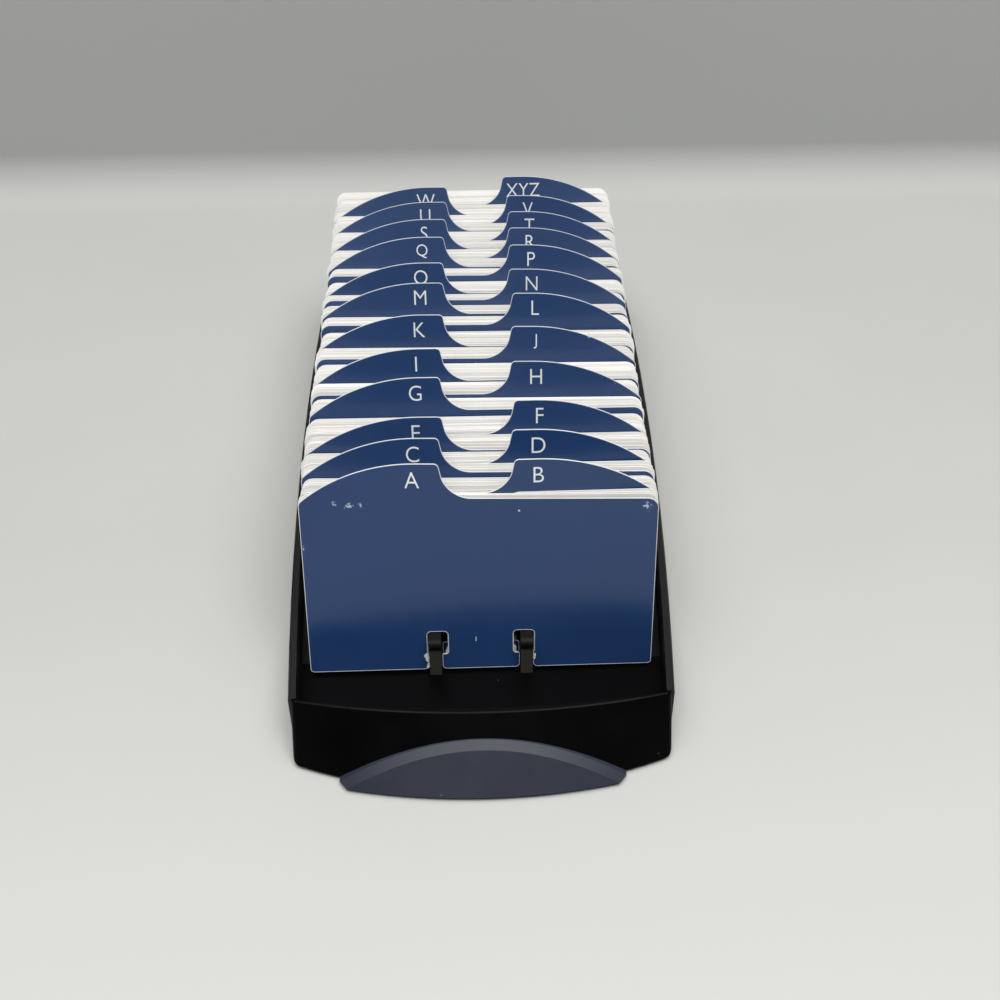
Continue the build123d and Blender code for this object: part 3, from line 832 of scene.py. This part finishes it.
# %% [markdown]
# The dividers are hung first. Every second one is the mirrored pattern, with its faces turned round again,
# because a mirror turns them inside out. Three of them have places where the coating is worn through, and
# get a navy of their own.

# %% Hang the dividers
SEED = 7
# A random tone for each divider, and a painted sheen that grows towards the rear.
CLEAREST, SHEEN_AT_REAR = 0.25, 0.6
WORN_PLACES = {
    "A": ((-40.6, 54.8, 1.8), (-36.5, 54.4, 2.2), (-33.2, 54.8, 1.6), (47.6, 54.3, 2.6), (-50.3, 41.0, 1.4)),
    "H": ((42.6, 60.8, 1.6),),
    "J": ((35.2, 64.1, 1.6),),
}
chance = random.Random(SEED)


def set_tone(mesh, tone):
    """Writes a sheet's tone on its faces."""
    layer = mesh.faces.layers.float.get("tone") or mesh.faces.layers.float.new("tone")
    for face in mesh.faces:
        face[layer] = tone


for place, label in enumerate(letters):
    mesh = bmesh.new()
    mesh.from_mesh(divider_left)
    if place % 2:
        bmesh.ops.scale(mesh, verts=mesh.verts[:], vec=(-1, 1, 1))
        bmesh.ops.reverse_faces(mesh, faces=mesh.faces[:])
    set_tone(mesh, chance.uniform(0.0, CLEAREST) + SHEEN_AT_REAR * place / len(letters))
    hang_as_divider(mesh, label)
    sheet = link_mesh(f"divider_sheet_{label}", mesh)
    worn = [(place_on_divider(label, x, z), reach * MM) for x, z, reach in WORN_PLACES.get(label, ())]
    sheet.data.materials.append(coated_navy(f"worn_navy_{label}", worn) if worn else divider_navy)
    sheet.data.materials.append(cut_edge)
    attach(sheet, f"divider_{label}")
    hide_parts(f"divider_{label}")
print("dividers hung:", len(letters))

# %% [markdown]
# A pack's cards take values between those of the dividers before and after it, so neighbours never cross.
# In front the packs stand a little lower than the dividers' shoulders, so strips of navy show, and at the
# rear they stand higher. Cards cling together in twos and threes with wider gaps between, and these gaps
# are what the eye reads as lines. An array would space them evenly, so each card is placed by itself.

# %% Share out the room in a pack
SQUARED_PITCH = 0.36 * MM
LOOSE_PITCH = 0.93 * MM
PACK_GAP = 0.3 * MM
LEAN = math.radians(15.5)
TOP_RISE = 43.0 * MM
LEAST_PITCH = 0.27 * MM
GAP_WEIGHTS = (0.02, 0.05, 0.9, 1.6)
BEHIND_DIVIDER = 0.85 * MM
BEFORE_DIVIDER = 0.62 * MM


def plane_at_top(label, lean):
    """Where a divider's middle is, TOP_RISE above the rails."""
    return tilt_axis[f"divider_{label}"].y + TOP_RISE * math.tan(lean)


def clinging_tops(count, room):
    """How far each card's top is behind the first: cards cling in twos and threes, with gaps between."""
    weights = [chance.choice(GAP_WEIGHTS) for _ in range(count - 1)]
    spare = max(room - LEAST_PITCH * (count - 1), 0.0)
    steps = [LEAST_PITCH + spare * weight / sum(weights) for weight in weights]
    return [sum(steps[:number]) for number in range(count)]


def fan_of(count):
    """The angle between two cards of a pack, and how far apart they sit on the rails."""
    room = count * LOOSE_PITCH * math.cos(LEAN) - PACK_GAP - CARD_THICK
    fan = math.atan2(room / (count - 1) - SQUARED_PITCH, CARD_HEIGHT)
    return fan, (SQUARED_PITCH + AXIS_ABOVE_FOOT * math.tan(fan)) / math.cos(LEAN)


print("one card in pack A takes", round(fan_of(CARD_COUNTS["A"])[1] / MM, 2), "mm of rail")

# %% Hang the packs of cards
SLIDE_OF_PACK = 0.5
SLIDE_OF_CARD = 0.3
RISE_LOW, RISE_HIGH = -0.12, 0.04
CANT_DEGREES = 0.2

for place, label in enumerate(letters):
    count = CARD_COUNTS[label]
    pack_y = tilt_axis[f"cards_{label}"].y
    own = HANGING[label]
    after = HANGING[letters[min(place + 1, len(letters) - 1)]]
    fan, rail_pitch = fan_of(count)
    first_top = plane_at_top(label, math.radians(own[0])) + BEHIND_DIVIDER
    if label == letters[-1]:
        last_lean = LEAN + (count - 3) * fan
        last_top = pack_y + (count - 1) * rail_pitch + TOP_RISE * math.tan(last_lean)
    else:
        last_top = plane_at_top(letters[place + 1], math.radians(after[0])) - BEFORE_DIVIDER
    tops = clinging_tops(count, last_top - first_top)
    pack_slide = chance.uniform(-SLIDE_OF_PACK, SLIDE_OF_PACK)
    pack = bmesh.new()
    for number in range(count):
        card = bmesh.new()
        card.from_mesh(card_plain)
        set_tone(card, chance.uniform(0.0, 1.0))
        share = (number + 1) / (count + 1)
        right_forward = own[1] * (1 - share) + after[1] * share
        left_back = own[2] * (1 - share) + after[2] * share
        rise = after[3] * share**2 + chance.uniform(RISE_LOW, RISE_HIGH)
        rail_y = pack_y + number * rail_pitch
        lean = math.atan2(first_top + tops[number] - rail_y, TOP_RISE)
        slide = (pack_slide + chance.uniform(-SLIDE_OF_CARD, SLIDE_OF_CARD)) * MM
        cant = math.radians(chance.uniform(-CANT_DEGREES, CANT_DEGREES))
        bmesh.ops.translate(card, verts=card.verts[:], vec=(slide, 0, 0))
        hang(card, rail_y, lean, right_forward, left_back, rise, 0.0, cant)
        copy = keep_pattern("one_card", card)
        pack.from_mesh(copy)
        bpy.data.meshes.remove(copy)
    cards = link_mesh(f"card_pack_{label}", pack)
    cards.data.materials.append(card_white)
    cards.data.materials.append(card_edge)
    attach(cards, f"cards_{label}")
    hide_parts(f"cards_{label}")
print("cards hung:", sum(CARD_COUNTS.values()))

# %% [markdown]
# Each tab carries its letter, printed in white, and the first divider a tiny figure 1 between its notches.
# Blender's own plain font is enough for print this small. The text is made a mesh first, scaled to the
# printed height, and then bent and hung exactly as its divider is.

# %% Flat text
INK_THICK = 0.04 * MM
TEXT_EXTRUDE = 0.002
TEXT_RESOLUTION = 6


def flat_text(body, height, width_share=1.0, thinner=0.0):
    """Text as a bmesh, facing the front, centred on the origin, its capitals height tall."""
    curve = bpy.data.curves.new("text", "FONT")
    curve.body = body
    curve.align_x = "CENTER"
    curve.align_y = "CENTER"
    curve.resolution_u = TEXT_RESOLUTION
    curve.extrude = TEXT_EXTRUDE
    curve.offset = -thinner
    writing = bpy.data.objects.new("text", curve)
    bpy.context.scene.collection.objects.link(writing)
    bpy.context.view_layer.update()
    graph = bpy.context.evaluated_depsgraph_get()
    data = bpy.data.meshes.new_from_object(writing.evaluated_get(graph))
    bpy.data.objects.remove(writing)
    mesh = bmesh.new()
    mesh.from_mesh(data)
    wide = [v.co.x for v in mesh.verts]
    high = [v.co.y for v in mesh.verts]
    tall = max(high) - min(high)
    to_middle = (-(max(wide) + min(wide)) / 2, -min(high) - tall / 2, 0)
    to_size = (width_share * height / tall, height / tall, INK_THICK / (2 * TEXT_EXTRUDE))
    bmesh.ops.translate(mesh, verts=mesh.verts[:], vec=to_middle)
    bmesh.ops.scale(mesh, verts=mesh.verts[:], vec=to_size)
    bmesh.ops.transform(mesh, matrix=Matrix.Rotation(math.pi / 2, 4, "X"), verts=mesh.verts[:])
    return mesh


def print_on(label, name, mesh, x, z):
    """Lays flat ink on a divider's face at x, z, and bends and hangs it with the divider."""
    bmesh.ops.translate(mesh, verts=mesh.verts[:], vec=(x, -INK_THICK / 4, z))
    hang_as_divider(mesh, label)
    ink = link_mesh(name, mesh)
    ink.data.materials.append(letter_ink)
    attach(ink, f"divider_{label}")


print("ink:", INK_THICK / MM, "mm thick")

# %% Print the letters
LETTER_HEIGHT = 4.9 * MM
LETTER_WIDTH_SHARE = 0.87
LETTER_THINNER = 0.008
LETTER_BELOW_TOP = 5.0 * MM
LETTER_FROM_MIDDLE = 18.4 * MM
LETTER_INWARDS = {"B": 0.8 * MM}
FIGURE_HEIGHT = 1.5 * MM
FIGURE_PLACE = (-1.4 * MM, 10.2 * MM)

for place, label in enumerate(letters):
    side = 1 if place % 2 else -1
    written = flat_text(label, LETTER_HEIGHT, LETTER_WIDTH_SHARE, LETTER_THINNER)
    x = side * (LETTER_FROM_MIDDLE - LETTER_INWARDS.get(label, 0.0))
    print_on(label, f"letter_{label}", written, x, TAB_TOP - LETTER_BELOW_TOP)
print_on("A", "figure_one", flat_text("1", FIGURE_HEIGHT), *FIGURE_PLACE)
print("letters printed:", len(letters))

# %% [markdown]
# The outer lips of the first divider's notches have torn where they pull over the rails. The torn card
# shows its pale core: a small ragged flake on each side. A flake is a circle of few sides, drawn out,
# roughened and thickened, which is less regular than a noise on a plain face.

# %% Torn lips of the first divider
FLAKE_SIDES = 11
FLAKE_THICK = 0.1 * MM
FLAKE_PROUD = 0.12 * MM
FLAKE_RAGGED = (0.65, 1.1)


def torn_flake(name, x, z, width, height, turn):
    """A ragged pale flake of torn card, lying on the first divider's face."""
    mesh = bmesh.new()
    bmesh.ops.create_circle(mesh, cap_ends=True, segments=FLAKE_SIDES, radius=0.5)
    bmesh.ops.scale(mesh, verts=mesh.verts[:], vec=(width, height, 1))
    for vert in mesh.verts:
        vert.co *= chance.uniform(*FLAKE_RAGGED)
    bmesh.ops.rotate(mesh, verts=mesh.verts[:], matrix=Matrix.Rotation(turn, 3, "Z"))
    bmesh.ops.transform(mesh, matrix=Matrix.Rotation(math.pi / 2, 4, "X"), verts=mesh.verts[:])
    bmesh.ops.solidify(mesh, geom=mesh.faces[:], thickness=FLAKE_THICK)
    bmesh.ops.translate(mesh, verts=mesh.verts[:], vec=(x, -FLAKE_PROUD, z))
    bmesh.ops.recalc_face_normals(mesh, faces=mesh.faces[:])
    hang_as_divider(mesh, "A")
    flake = link_mesh(name, mesh)
    flake.data.materials.append(card_edge)
    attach(flake, "divider_A")


torn_flake("torn_lip_left", -16.1 * MM, 4.1 * MM, 1.5 * MM, 3.4 * MM, math.radians(12))
torn_flake("torn_lip_left_foot", -15.7 * MM, 1.4 * MM, 1.0 * MM, 2.4 * MM, math.radians(-20))
torn_flake("torn_lip_right", 15.9 * MM, 3.6 * MM, 0.7 * MM, 2.9 * MM, math.radians(-6))
print("torn lips: 3 flakes")
